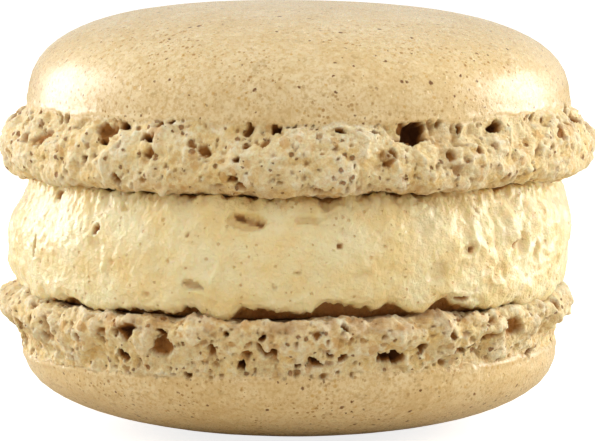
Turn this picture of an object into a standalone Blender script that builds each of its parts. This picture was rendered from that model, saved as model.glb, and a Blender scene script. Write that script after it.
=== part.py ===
"""A filled French macaron: two baked almond-meringue shells with a band of buttercream between.

Units are metres, +Z is up, and the origin is the middle of the small flat spot that the lower
shell rests on. Each shell is one piece: a smooth dome over a ruffled "foot", the crumbly ring
that rises under it in the oven. The lower shell lies dome down, the upper one dome up, and
the filling runs right through between their flat sides.
"""

import math
import random

import bpy

MM = 0.001

# Driving sizes, in millimetres.
FOOT_RADIUS_TOP = 21.7  # belly of the upper shell, before its lobes swing out
FOOT_RADIUS_LOW = 21.15  # the lower shell is piped a little smaller
DOME_RADIUS_TOP = 20.2
DOME_RADIUS_LOW = 19.9
FILLING_RADIUS = 20.9
LOW_SEAM_Z = 6.2  # where the lower dome meets its foot
LOW_CONTACT_Z = 10.1  # flat side of the lower shell
TOP_CONTACT_Z = 18.8  # flat side of the upper shell
TOP_SEAM_Z = 24.0
TOP_DOME_HEIGHT = 7.55
PIECE_GAP = 0.3  # clearance that neighbouring solids keep

# Shape of the profiles.
DOME_POWER_TOP = 2.7  # superellipse power: 2 is round, larger is flatter on top
DOME_POWER_LOW = 2.45
REST_RADIUS = 5.5  # flat spot under the lower dome
FLAT_SIDE_RADIUS = 18.6  # a shell's flat side ends here and its foot begins
SEAM_STEP = 0.25  # the foot starts this much outside the dome's edge
FOOT_ROUNDNESS = 0.75  # power of the sine that swells the foot
FOOT_BELLY_BIAS = 0.63  # under 1 puts the belly's widest ring nearer the flat side
FOOT_ROW_BIAS = 1.3  # over 1 sets the foot's rows closer together at the flat side
FILLING_EDGE_RADIUS = 18.9  # where the filling leaves the shells' flat sides
FILLING_ROUNDNESS = 0.7
RUFFLE_DEPTH = 0.75  # how far the foot's lobes swing in and out
RUFFLE_COUNTS = (3, 5, 8, 13, 19, 26)  # lobes round the ring, one wave for each
RUFFLE_SLANT = 3.0  # how far the lobes lean over the foot's height, in radians
CREAM_WAVE_DEPTH = 0.40
CREAM_WAVE_COUNTS = (2, 4, 7, 11, 15)
CREAM_SLANT = 2.0

# The lower shell and the filling sit a little off the upper shell's axis.
TOP_SHIFT_X = 0.07
FILLING_SHIFT_X = -0.60
LOW_SHIFT_X = -0.71
LOW_SEAM_LEAN = 0.016  # rise of the lower seam per millimetre towards +X
TOP_CROWN_LEAN = -0.012  # the upper dome is highest a little towards -X

AROUND = 90  # columns of every piece
FOOT_ROWS = 10
DOME_ROWS = 8
FILLING_ROWS = 10


def clear_scene():
    """Removes whatever the scene holds."""
    for obj in list(bpy.data.objects):
        bpy.data.objects.remove(obj)


def biscuit_material(name, colour, roughness):
    """A plain, matt food surface."""
    made = bpy.data.materials.new(name)
    made.use_nodes = True
    shader = made.node_tree.nodes["Principled BSDF"]
    shader.inputs["Base Color"].default_value = (*colour, 1.0)
    shader.inputs["Roughness"].default_value = roughness
    shader.inputs["Metallic"].default_value = 0.0
    return made


def lobe_waves(seed, counts):
    """Seeded waves (lobes round the ring, phase, share, slant) whose shares add up to 1."""
    source = random.Random(seed)
    raw = [(n, source.uniform(0, 2 * math.pi), source.uniform(0.5, 1), source.uniform(-1, 1))
           for n in counts]
    total = sum(share for _, _, share, _ in raw)
    return [(n, phase, share / total, slant) for n, phase, share, slant in raw]


def ripple(waves, theta, rise):
    """Sum of cosines round the ring. The slant turns each wave's phase as the profile rises."""
    return sum(share * math.cos(n * theta + phase + slant * rise)
               for n, phase, share, slant in waves)


def smooth_power(value, power):
    """value ** power for a value that rounding may have left just below zero."""
    return max(0.0, value) ** power


def foot_row(step, rim_radius, foot_radius, foot_height):
    """(radius, height over the flat side, swell 0..1, rise) for one row of the foot.

    The row runs from the flat side's edge (step 0) round the belly to the seam (step 1).
    Its radius is a straight line between the two edges plus a belly that swells by a power
    of the sine. A bias on the step makes the belly hang low, towards the flat side.
    """
    height_share = step ** FOOT_ROW_BIAS
    belly_step = height_share ** FOOT_BELLY_BIAS
    swell = smooth_power(math.sin(math.pi * belly_step), FOOT_ROUNDNESS)
    edge = FLAT_SIDE_RADIUS + (rim_radius - FLAT_SIDE_RADIUS) * belly_step
    middle = (FLAT_SIDE_RADIUS + rim_radius) / 2
    rise = RUFFLE_SLANT * belly_step
    return edge + (foot_radius - middle) * swell, foot_height * height_share, swell, rise


def shell_rows(foot_radius, dome_radius, foot_height, dome_height, power, crown_flat):
    """The shell's profile from flat side to crown: (radius, height, swell, rise, crown share)."""
    rows = []
    for i in range(FOOT_ROWS + 1):
        radius, height, swell, rise = foot_row(
            i / FOOT_ROWS, dome_radius + SEAM_STEP, foot_radius, foot_height)
        rows.append((radius, height, swell, rise, 0.0))
    for i in range(DOME_ROWS):
        angle = math.pi / 2 * i / DOME_ROWS
        radius = dome_radius * smooth_power(math.cos(angle), 2 / power)
        lift = smooth_power(math.sin(angle), 2 / power)
        rows.append((radius, foot_height + dome_height * lift, 0.0, 0.0, lift))
    rows = [row for row in rows if row[1] <= foot_height or row[0] > crown_flat * 1.05]
    if crown_flat:
        rows.append((crown_flat, foot_height + dome_height, 0.0, 0.0, 1.0))
    return rows


def ring_mesh(name, rows, bottom, top):
    """Closed mesh of rings of points, bottom ring first, with a fan of triangles at each end."""
    points = [point for row in rows for point in row]
    faces = []
    for r in range(len(rows) - 1):
        for c in range(AROUND):
            n = (c + 1) % AROUND
            faces.append((r * AROUND + c, r * AROUND + n,
                          (r + 1) * AROUND + n, (r + 1) * AROUND + c))
    low, high = len(points), len(points) + 1
    last = (len(rows) - 1) * AROUND
    for c in range(AROUND):
        n = (c + 1) % AROUND
        faces.append((low, n, c))
        faces.append((high, last + c, last + n))
    mesh = bpy.data.meshes.new(name)
    mesh.from_pydata(points + [bottom, top], [], faces)
    mesh.shade_smooth()
    mesh.set_sharp_from_angle(angle=math.radians(40))
    return mesh


def add_piece(name, mesh, material, parent):
    """One named object for one piece of the macaron."""
    obj = bpy.data.objects.new(name, mesh)
    obj.data.materials.append(material)
    obj.parent = parent
    bpy.context.scene.collection.objects.link(obj)
    return obj


def shell_mesh(name, profile, contact_z, upwards, shift_x, seed, seam_lean, crown_lean):
    """A shell from its profile. upwards is +1 for a dome on top and -1 for a dome below."""
    waves = lobe_waves(seed, RUFFLE_COUNTS)
    seam_height = max(height for _, height, swell, _, _ in profile if swell or not height)
    rings = []
    for radius, height, swell, rise, crown in profile:
        ring = []
        for c in range(AROUND):
            theta = 2 * math.pi * c / AROUND
            r = radius + RUFFLE_DEPTH * swell * ripple(waves, theta, rise)
            x = r * math.cos(theta)
            below_seam = min(1.0, height / seam_height)
            lean = seam_lean * below_seam * (1 - crown) + crown_lean * crown
            z = contact_z + upwards * height + lean * x
            ring.append(((x + shift_x) * MM, r * math.sin(theta) * MM, z * MM))
        rings.append(ring)
    crown_z = contact_z + upwards * profile[-1][1]
    contact, crown_point = (shift_x * MM, 0, contact_z * MM), (shift_x * MM, 0, crown_z * MM)
    if upwards < 0:
        return ring_mesh(name, rings[::-1], crown_point, contact)
    return ring_mesh(name, rings, contact, crown_point)


def filling_mesh(name):
    """The band of buttercream: a disc whose side bulges out between the shells."""
    low, high = LOW_CONTACT_Z + PIECE_GAP, TOP_CONTACT_Z - PIECE_GAP
    waves = lobe_waves(21, CREAM_WAVE_COUNTS)
    rings = []
    for i in range(FILLING_ROWS + 1):
        angle = math.pi * (i / FILLING_ROWS - 0.5)
        swell = smooth_power(math.cos(angle), FILLING_ROUNDNESS)
        share = (1 + math.sin(angle)) / 2
        radius = FILLING_EDGE_RADIUS + (FILLING_RADIUS - FILLING_EDGE_RADIUS) * swell
        z = low + (high - low) * share
        ring = []
        for c in range(AROUND):
            theta = 2 * math.pi * c / AROUND
            r = radius + CREAM_WAVE_DEPTH * swell * ripple(waves, theta, CREAM_SLANT * share)
            ring.append(((r * math.cos(theta) + FILLING_SHIFT_X) * MM,
                         r * math.sin(theta) * MM, z * MM))
        rings.append(ring)
    ends = [(FILLING_SHIFT_X * MM, 0, z * MM) for z in (low, high)]
    return ring_mesh(name, rings, *ends)


def centre_in_plan(objects, parent):
    """Moves the parent empty so that the pieces' common box is centred on the Z axis."""
    corners = [vertex.co for obj in objects for vertex in obj.data.vertices]
    for axis in (0, 1):
        values = [corner[axis] for corner in corners]
        parent.location[axis] = -(min(values) + max(values)) / 2


def build():
    """Makes the three pieces and their common parent."""
    clear_scene()
    whole = bpy.data.objects.new("macaron", None)
    bpy.context.scene.collection.objects.link(whole)
    shell_look = biscuit_material("almond_shell", (0.72, 0.55, 0.31), 0.55)
    cream_look = biscuit_material("buttercream", (0.80, 0.66, 0.38), 0.45)

    top_profile = shell_rows(FOOT_RADIUS_TOP, DOME_RADIUS_TOP, TOP_SEAM_Z - TOP_CONTACT_Z,
                             TOP_DOME_HEIGHT, DOME_POWER_TOP, 0.0)
    low_profile = shell_rows(FOOT_RADIUS_LOW, DOME_RADIUS_LOW, LOW_CONTACT_Z - LOW_SEAM_Z,
                             LOW_SEAM_Z, DOME_POWER_LOW, REST_RADIUS)
    pieces = [
        add_piece("bottom_shell", shell_mesh("bottom_shell", low_profile, LOW_CONTACT_Z, -1,
                                             LOW_SHIFT_X, 7, LOW_SEAM_LEAN, 0.0),
                  shell_look, whole),
        add_piece("filling", filling_mesh("filling"), cream_look, whole),
        add_piece("top_shell", shell_mesh("top_shell", top_profile, TOP_CONTACT_Z, 1,
                                          TOP_SHIFT_X, 3, 0.0, TOP_CROWN_LEAN),
                  shell_look, whole),
    ]
    centre_in_plan(pieces, whole)


build()
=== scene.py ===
# %% [markdown]
# # A filled French macaron
# The frame holds three solids: the lower shell, the buttercream and the upper shell. Here each
# of them is made again as one closed surface with the real thing's detail: a smooth baked skin,
# the crumbly "foot" under it, and soft cream with folds and air holes. Every surface is worked
# out as whole numpy arrays, in millimetres, and only becomes metres when a mesh is made.

# %% Load the frame
import itertools
import math

import bpy
import numpy as np
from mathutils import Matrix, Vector


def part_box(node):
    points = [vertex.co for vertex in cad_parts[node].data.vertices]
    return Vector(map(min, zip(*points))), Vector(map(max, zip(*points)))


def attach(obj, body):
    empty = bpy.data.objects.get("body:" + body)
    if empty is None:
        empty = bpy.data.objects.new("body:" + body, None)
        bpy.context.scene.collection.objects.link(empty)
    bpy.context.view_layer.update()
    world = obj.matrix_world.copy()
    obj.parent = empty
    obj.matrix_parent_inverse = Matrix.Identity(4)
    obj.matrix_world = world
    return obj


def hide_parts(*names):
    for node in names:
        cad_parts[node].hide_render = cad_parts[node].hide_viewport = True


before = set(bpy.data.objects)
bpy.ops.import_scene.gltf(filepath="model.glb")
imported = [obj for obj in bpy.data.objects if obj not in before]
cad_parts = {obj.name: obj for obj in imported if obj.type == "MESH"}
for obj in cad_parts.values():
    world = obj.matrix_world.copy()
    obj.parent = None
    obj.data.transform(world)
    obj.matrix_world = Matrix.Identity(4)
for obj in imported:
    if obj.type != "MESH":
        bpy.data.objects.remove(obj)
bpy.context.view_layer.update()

MM = 0.001


def node_box(node):
    """The node's lowest and highest corners, in millimetres."""
    low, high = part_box(node)
    return np.array(low) / MM, np.array(high) / MM


LOW_BOX = node_box("bottom_shell")
CREAM_BOX = node_box("filling")
TOP_BOX = node_box("top_shell")
LOW_FLAT_Z = LOW_BOX[1][2]
TOP_FLAT_Z = TOP_BOX[0][2]
CROWN_Z = TOP_BOX[1][2]
for name, (low, high) in (("lower shell", LOW_BOX), ("cream", CREAM_BOX), ("upper shell", TOP_BOX)):
    print(name, "from", low.round(2), "to", high.round(2))

# %% [markdown]
# ## Repeatable randomness
# Crumb and cream are irregular at every size, so most of the work is noise. Three kinds are
# enough. Soft noise makes swells and mottling. Cell distances make rounded lumps with creases
# between them, like foam. Pits are placed one by one. All three are functions of the point in
# space, so nothing shows a seam where the ring closes.

# %% Noise in space
def cell_random(cells, seed):
    """Random numbers from 0 to 1, the same each time, for whole-number cells (..., 3).

    The three numbers are multiplied by large odd constants and added, then the bits are mixed."""
    c = cells.astype(np.int64).astype(np.uint32)
    mixed = (c[..., 0] * np.uint32(0x8DA6B343) + c[..., 1] * np.uint32(0xD8163841)
             + c[..., 2] * np.uint32(0xCB1AB31F) + np.uint32(seed * 7919 % 2**32))
    mixed ^= mixed >> np.uint32(15)
    mixed *= np.uint32(0x2C1B3C6D)
    mixed ^= mixed >> np.uint32(12)
    mixed *= np.uint32(0x297A2D39)
    mixed ^= mixed >> np.uint32(15)
    return mixed / 2.0**32


def soft_noise(points, size, seed):
    """Smooth swells about size apart, from about -1 to 1.

    Each corner of a point's cell has a random slope. The slopes' heights at the point are
    blended with the weights w = 6t^5 - 15t^4 + 10t^3 along each axis."""
    grid = points / size
    cell = np.floor(grid)
    t = grid - cell
    w = t**3 * (t * (6 * t - 15) + 10)
    total = np.zeros(points.shape[:-1])
    for corner in itertools.product((0, 1), repeat=3):
        here = cell + corner
        height = sum((2 * cell_random(here, seed * 3 + axis) - 1) * (t[..., axis] - corner[axis])
                     for axis in range(3))
        share = np.prod(np.where(corner, w, 1 - w), axis=-1)
        total += share * height
    return 1.6 * total


def cloud(points, size, seed, layers=3, fade=0.5):
    """Soft noise with finer layers on top: each is half the size and fade times as strong."""
    return sum(fade**k * soft_noise(points, size / 2**k, seed + 17 * k) for k in range(layers))


sample = np.random.default_rng(1).uniform(0, 40, (4000, 3))
print("soft noise runs from", soft_noise(sample, 3, 1).min().round(2),
      "to", soft_noise(sample, 3, 1).max().round(2))

# %% Foam and blends
def foam(points, size, seed):
    """Distances, in cells, to the nearest and the second nearest of scattered centres.

    Every cell of the grid holds one centre at a random place, and the 27 cells round a point
    are searched."""
    grid = points / size
    cell = np.floor(grid)
    near = np.full(points.shape[:-1], np.inf)
    second = near.copy()
    for step in itertools.product((-1, 0, 1), repeat=3):
        here = cell + step
        square = sum((here[..., axis] + cell_random(here, seed * 5 + axis) - grid[..., axis])**2
                     for axis in range(3))
        distance = np.sqrt(square)
        second = np.minimum(second, np.maximum(near, distance))
        near = np.minimum(near, distance)
    return near, second


def step_up(value, start, end):
    """0 below start, 1 above end, and 3t^2 - 2t^3 between them."""
    t = np.clip((value - start) / (end - start), 0, 1)
    return t * t * (3 - 2 * t)


def hump(value, centre, width):
    """A bell curve, exp(-(distance / width)^2)."""
    return np.exp(-((value - centre) / width)**2)


print("a foam's middle distances are", [part.mean().round(2) for part in foam(sample, 3, 1)], "cells")

# %% [markdown]
# ## Paths and rings
# A shell or the cream is a profile carried round the vertical axis. The profile is a path of
# (radius, height) with its corners rounded off, and a row of points is taken wherever the
# surface needs one: close together on the crumb, far apart on the smooth dome. Directions round
# the ring are bearings: 0 faces the viewer at -Y and a positive bearing turns towards +X.

# %% Paths
AROUND = 1240  # columns on the detailed part of every piece
COARSE = AROUND // 4  # columns on its smooth or hidden part


def rounded(path, rounds=4):
    """Cuts the path's corners at a quarter and three quarters of its sides, again and again."""
    for _ in range(rounds):
        cut = np.stack([0.75 * path[:-1] + 0.25 * path[1:], 0.25 * path[:-1] + 0.75 * path[1:]], 1)
        path = np.vstack([path[:1], cut.reshape(-1, 2), path[-1:]])
    return path


def lengths(path):
    """Distance along the path at each of its points."""
    return np.concatenate([[0], np.cumsum(np.hypot(*np.diff(path, axis=0).T))])


def at(path, places):
    """Points of the path at these distances along it."""
    run = lengths(path)
    return np.stack([np.interp(places, run, path[:, 0]), np.interp(places, run, path[:, 1])], 1)


def outward(path, places):
    """Unit normals of the path at these distances, to the right of its direction."""
    ahead, behind = at(path, places + 0.05), at(path, places - 0.05)
    along = ahead - behind
    along /= np.hypot(*along.T)[:, None]
    return np.stack([along[:, 1], -along[:, 0]], 1)


def bearings(count):
    """Evenly spaced bearings round the ring, in radians."""
    return np.linspace(-math.pi, math.pi, count, endpoint=False)


def ring_points(radius, height, bearing, centre_x):
    """Points at this radius and height round a vertical axis through (centre_x, 0)."""
    radius, height, bearing = np.broadcast_arrays(radius, height, bearing)
    return np.stack([centre_x + radius * np.sin(bearing), -radius * np.cos(bearing), height], -1)


print("columns", AROUND, "and", COARSE, "spaced",
      round(2 * math.pi * 21.5 / AROUND, 3), "mm on the foot")

# %% [markdown]
# ## From rows of points to a closed mesh
# A piece is a stack of rings, lowest first. Rings with the same number of points are joined by
# quads. Where a detailed ring meets a coarse one, every coarse point takes a small fan of four
# triangles and one more triangle fills the gap to its neighbour. A point closes each end.

# %% Meshes
def quads(first, second, count):
    """Four-sided faces between two rings, from the numbers of their first points."""
    here = np.arange(count)
    ahead = (here + 1) % count
    return np.stack([first + here, first + ahead, second + ahead, second + here], 1)


def fans(fine, coarse, fine_is_lower):
    """Triangles between a ring of AROUND points and one of COARSE points, from their first points."""
    hub = np.arange(COARSE)
    parts = []
    for k in range(-2, 2):
        start = (4 * hub + k) % AROUND
        parts.append(np.stack([fine + start, fine + (start + 1) % AROUND, coarse + hub], 1))
    gap = np.stack([fine + (4 * hub + 2) % AROUND, coarse + (hub + 1) % COARSE, coarse + hub], 1)
    faces = np.vstack(parts + [gap])
    return faces if fine_is_lower else faces[:, ::-1]


def tip(pole, ring, count, pole_is_lower):
    """Triangles that close a ring with one point."""
    here = np.arange(count)
    ahead = (here + 1) % count
    faces = np.stack([np.full(count, pole), ring + ahead, ring + here], 1)
    return faces if pole_is_lower else faces[:, ::-1]


print("a ring of", COARSE, "points takes", len(tip(COARSE, 0, COARSE, True)), "triangles to close")

# %% Closed pieces
def closed_piece(name, rings, values, ends):
    """A mesh object from rings of points in millimetres, with one named value list per ring."""
    points = np.vstack(rings + [ends[0], ends[1]])
    starts = np.concatenate([[0], np.cumsum([len(ring) for ring in rings])])
    squares, triangles = [], []
    for k in range(len(rings) - 1):
        low, high = len(rings[k]), len(rings[k + 1])
        if low == high:
            squares.append(quads(starts[k], starts[k + 1], low))
        elif low > high:
            triangles.append(fans(starts[k], starts[k + 1], True))
        else:
            triangles.append(fans(starts[k + 1], starts[k], False))
    triangles.append(tip(len(points) - 2, 0, len(rings[0]), True))
    triangles.append(tip(len(points) - 1, starts[-2], len(rings[-1]), False))
    squares, triangles = np.vstack(squares), np.vstack(triangles)

    mesh = bpy.data.meshes.new(name)
    mesh.vertices.add(len(points))
    mesh.vertices.foreach_set("co", (points * MM).astype(np.float32).ravel())
    corners = np.concatenate([squares.ravel(), triangles.ravel()])
    mesh.loops.add(len(corners))
    mesh.loops.foreach_set("vertex_index", corners.astype(np.int32))
    sizes = np.concatenate([np.full(len(squares), 4), np.full(len(triangles), 3)])
    mesh.polygons.add(len(sizes))
    first = np.concatenate([[0], np.cumsum(sizes)[:-1]])
    mesh.polygons.foreach_set("loop_start", first.astype(np.int32))
    mesh.update(calc_edges=True)
    mesh.validate()
    mesh.shade_smooth()
    for key, rows in values.items():
        column = mesh.attributes.new(key, "FLOAT", "POINT")
        flat = np.concatenate(rows + [rows[0][:1], rows[-1][:1]])
        column.data.foreach_set("value", flat.astype(np.float32))
    made = bpy.data.objects.new(name, mesh)
    bpy.context.scene.collection.objects.link(made)
    print(name, "has", 2 * len(squares) + len(triangles), "triangles")
    return made


print("a closed piece may have up to", AROUND, "points on a ring")

# %% [markdown]
# ## Pores
# Meringue rises as foam, so the foot is full of burst bubbles: a few big ones in a row where
# the skin ends, dozens of middling ones and hundreds of small ones. A pore is an ellipse on the
# surface. Its outline is bent by noise so that it looks torn, its wall is steep, and where two
# pores overlap the deeper one counts, which joins them into one ragged cave.

# %% Digging pores
def dig(depth, bearing, station, radius, bend, pores, wall=0.5):
    """Deepens the depth field (rows, columns) by each pore where it is deeper.

    A pore is (bearing in degrees, station, half width, half height, depth, turn in degrees).
    With q the distance from its middle in half widths, its floor lies depth * (1 - q^4)^wall
    below the surface, so the middle is flat. A wall of 0.5 is steep and 1.5 is soft."""
    columns = len(bearing)
    for angle, place, half_wide, half_high, deep, turn in pores:
        reach = 1.35 * max(half_wide, half_high)
        rows = slice(*np.searchsorted(station, (place - reach, place + reach)))
        if rows.start == rows.stop:
            continue
        size = radius[rows].mean()
        middle = (math.radians(angle) + math.pi) / (2 * math.pi) * columns
        spread = int(reach / (2 * math.pi * size / columns)) + 1
        near = np.arange(int(middle) - spread, int(middle) + spread + 2)
        picked = near % columns
        across = (near - middle)[None, :] * (2 * math.pi * size / columns)
        across = across + bend[0][rows][:, picked] * min(1.0, half_wide / 0.35)
        up = station[rows, None] - place + bend[1][rows][:, picked] * min(1.0, half_high / 0.35)
        c, s = math.cos(math.radians(turn)), math.sin(math.radians(turn))
        q = np.hypot((c * across + s * up) / half_wide, (c * up - s * across) / half_high)
        hole = deep * np.clip(1 - q**4, 0, 1)**wall
        block = depth[rows]
        block[:, picked] = np.maximum(block[:, picked], hole)
        depth[rows] = block


def scattered_pores(seed, count, low, high, sizes, shares):
    """Pores at random bearings between two stations. A size is small^(1-u) * large^u, so small
    ones are the most common, and shares holds how deep they are for their width."""
    source = np.random.default_rng(seed)
    u = source.uniform(0, 1, count)**1.5
    half = sizes[0]**(1 - u) * sizes[1]**u
    flat = source.uniform(0.6, 1.0, count)
    return list(zip(source.uniform(-180, 180, count), source.uniform(low, high, count),
                    half, half * flat, half * source.uniform(*shares, count),
                    source.uniform(-90, 90, count)))


trial = [pore[2] for pore in scattered_pores(1, 240, -4, 0, (0.1, 0.4), (0.8, 1.4))]
print("scattered pores are", round(np.mean(trial), 2), "mm in half width on average")

# %% [markdown]
# ## The shells
# Both shells are one recipe. Their profile starts in the middle of the flat side, runs out to
# the foot's rim, round the lumpy belly, in to the seam and over the dome to the crown. Stations
# along it are counted from the seam: negative on the foot and positive on the dome.

# %% Shell profile
FLAT_SIDE = [(0, 0), (8, 0), (15, 0)]  # (radius, height) on the way out to a foot's rim


def shell_path(foot_corners, dome_radius, dome_height, dome_power, seam_height, crown_flat):
    """(path, distance of the seam along it), as (radius, height over the flat side).

    The foot's corners are rounded off. The dome is a superellipse: with t from 0 to a quarter
    turn its radius is R cos(t)^(2/p) and its rise H sin(t)^(2/p)."""
    foot = rounded(np.array(FLAT_SIDE + foot_corners, float))
    t = np.linspace(0, math.pi / 2, 400)[1:]
    radius = dome_radius * np.clip(np.cos(t), 0, 1)**(2 / dome_power)
    rise = seam_height + dome_height * np.sin(t)**(2 / dome_power)
    dome = np.stack([radius, rise], 1)
    if crown_flat:
        top = dome[-1, 1]
        dome = np.vstack([dome[dome[:, 0] > crown_flat], [(crown_flat, top), (0, top)]])
    return np.vstack([foot, dome]), lengths(foot)[-1]


TOP_FOOT_HEIGHT, TOP_DOME_RADIUS, TOP_DOME_POWER = 5.2, 20.2, 2.7
LOW_FOOT_HEIGHT, LOW_DOME_RADIUS, LOW_DOME_POWER = 3.9, 19.9, 2.45
REST_RADIUS = 5.5  # the lower dome is flat from here to its middle
TOP_FOOT = [(18.2, 0.0), (19.4, 0.25), (20.6, 0.4), (21.4, 0.85), (21.65, 1.6), (21.6, 2.5),
            (21.35, 3.3), (20.9, 4.0), (20.4, 4.6), (20.2, 5.0), (TOP_DOME_RADIUS, TOP_FOOT_HEIGHT)]
LOW_FOOT = [(18.2, 0.0), (19.4, 0.0), (20.3, -0.1), (20.9, -0.05), (21.25, 0.4), (21.25, 1.1),
            (20.9, 1.7), (20.45, 2.4), (20.1, 3.0), (19.95, 3.5), (19.92, LOW_FOOT_HEIGHT)]
TOP_PATH, TOP_SEAM = shell_path(TOP_FOOT, TOP_DOME_RADIUS, CROWN_Z - TOP_FLAT_Z - TOP_FOOT_HEIGHT,
                                TOP_DOME_POWER, TOP_FOOT_HEIGHT, 0)
LOW_PATH, LOW_SEAM = shell_path(LOW_FOOT, LOW_DOME_RADIUS, LOW_FLAT_Z - LOW_FOOT_HEIGHT,
                                LOW_DOME_POWER, LOW_FOOT_HEIGHT, REST_RADIUS)
print("seams lie", TOP_SEAM.round(2), "and", LOW_SEAM.round(2), "mm along the profiles")

# %% Rows of a piece
FLAT_ROWS, DOME_ROWS = 5, 24
CRUMB_STATIONS = np.concatenate([np.linspace(-9.5, -6.2, 12, endpoint=False),
                                 np.linspace(-6.2, 0.5, 50, endpoint=False),
                                 np.linspace(0.5, 1.3, 5)])


def shell_places(path, seam):
    """(distances of the rows along the path, slice of the finely detailed ones)."""
    places = np.concatenate([np.linspace(0.5, seam - 9.7, FLAT_ROWS), seam + CRUMB_STATIONS,
                             np.linspace(seam + 1.6, lengths(path)[-1] - 0.4, DOME_ROWS)])
    return places, slice(FLAT_ROWS, FLAT_ROWS + len(CRUMB_STATIONS))


def thinned(points, values, fine):
    """Rings and value lists: every point of the fine rows, and one in four of the others."""
    rings, lists = [], {key: [] for key in values}
    for k in range(len(points)):
        step = 1 if fine.start <= k < fine.stop else AROUND // COARSE
        rings.append(points[k, ::step])
        for key, grid in values.items():
            lists[key].append(np.broadcast_to(grid, points.shape[:2])[k, ::step])
    return rings, lists


print("a shell has", len(shell_places(TOP_PATH, TOP_SEAM)[0]), "rows,", len(CRUMB_STATIONS), "of them fine")

# %% Crumb relief
BELLY_RADIUS = 21.3
LUMP_SIZE, FROTH_SIZE, GRAIN_SIZE = 2.9, 1.15, 0.45  # big bubbles, small bubbles, sugar grain
PATCH_SIZE = 3.6  # burst foam gives way to dried lumps over about this distance


def crooked(base, amount, size, seed):
    """The points, moved about by noise: foam worked out from them has crooked cells."""
    return base + amount * np.stack([cloud(base, size, seed + k, 2) for k in (40, 41, 42)], -1)


def crumb_relief(base, seed):
    """(relief of the small lumps, relief of all of them), in millimetres out from the belly.

    A cell of foam is a bowl, near^2 - 0.36. It counts as a hollow where the foam has burst and
    turned over, as a rounded lump, where it has dried whole."""
    bent = crooked(base, 0.45, 1.6, seed)
    near, second = foam(bent, LUMP_SIZE, seed + 1)
    small_near, small_second = foam(bent, FROTH_SIZE, seed + 2)
    grain_near, _ = foam(base, GRAIN_SIZE, seed + 3)
    walls, small_walls = hump(second - near, 0, 0.16), hump(small_second - small_near, 0, 0.2)
    small = (0.20 * (small_near**2 - 0.3) + 0.05 * small_walls + 0.20 * (0.6 - grain_near)
             + 0.08 * cloud(base, 0.75, seed + 5, 3, 0.6))
    burst = step_up(cloud(base, PATCH_SIZE, seed + 12, 2), -0.25, 0.2)
    bowls = (burst - 0.75 * (1 - burst)) * (near**2 - 0.36)
    return small, 0.42 * cloud(base, 5.0, seed + 4, 2) + bowls + 0.10 * burst * walls + small


def raised(bearing, station, radius, marks):
    """Sum of smooth lumps: (bearing in degrees, station, half width, half height, lift, turn).

    A lump is lift * exp(-(a^2 + b^2)), with a and b the distances along its turned axes as
    shares of its half width and half height."""
    total = 0
    for angle, place, wide, tall, lift, turn in marks:
        away = (np.degrees(bearing) - angle + 180) % 360 - 180
        across, up = np.radians(away)[None, :] * radius, station - place
        c, s = math.cos(math.radians(turn)), math.sin(math.radians(turn))
        a, b = (c * across + s * up) / wide, (c * up - s * across) / tall
        total = total + lift * np.exp(-(a**2 + b**2))
    return total


belly = ring_points(BELLY_RADIUS, 2.0, bearings(400), 0.0)
print("lumps of the crumb stand", np.ptp(crumb_relief(belly, 11)[1]).round(2), "mm high on one ring")

# %% Shell surface
SKIN_WAVE, SKIN_RIPPLE, SEAM_LIP = 0.05, 0.010, 0.09  # millimetres
FOOT_EDGE_BROWN = 0.22  # how brown the foot is where it meets the cream
TILT_START, TILT_FULL = 0, 3.5  # heights over the flat side between which the lean sets in


def pore_depth(base, station, radius, fine, seed, pores):
    """(depth of the pores with their uneven floors, plain depth), in millimetres."""
    depth = np.zeros(base.shape[:2])
    bend = [0.28 * cloud(base, 0.75, seed + 8 + k, 2, 0.6)[fine] for k in (0, 1)]
    dig(depth[fine], bearings(AROUND), station[fine, 0], radius[fine, 0], bend, pores)
    return depth * (1 + 0.35 * cloud(base, 0.6, seed + 13, 2)), depth


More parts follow.
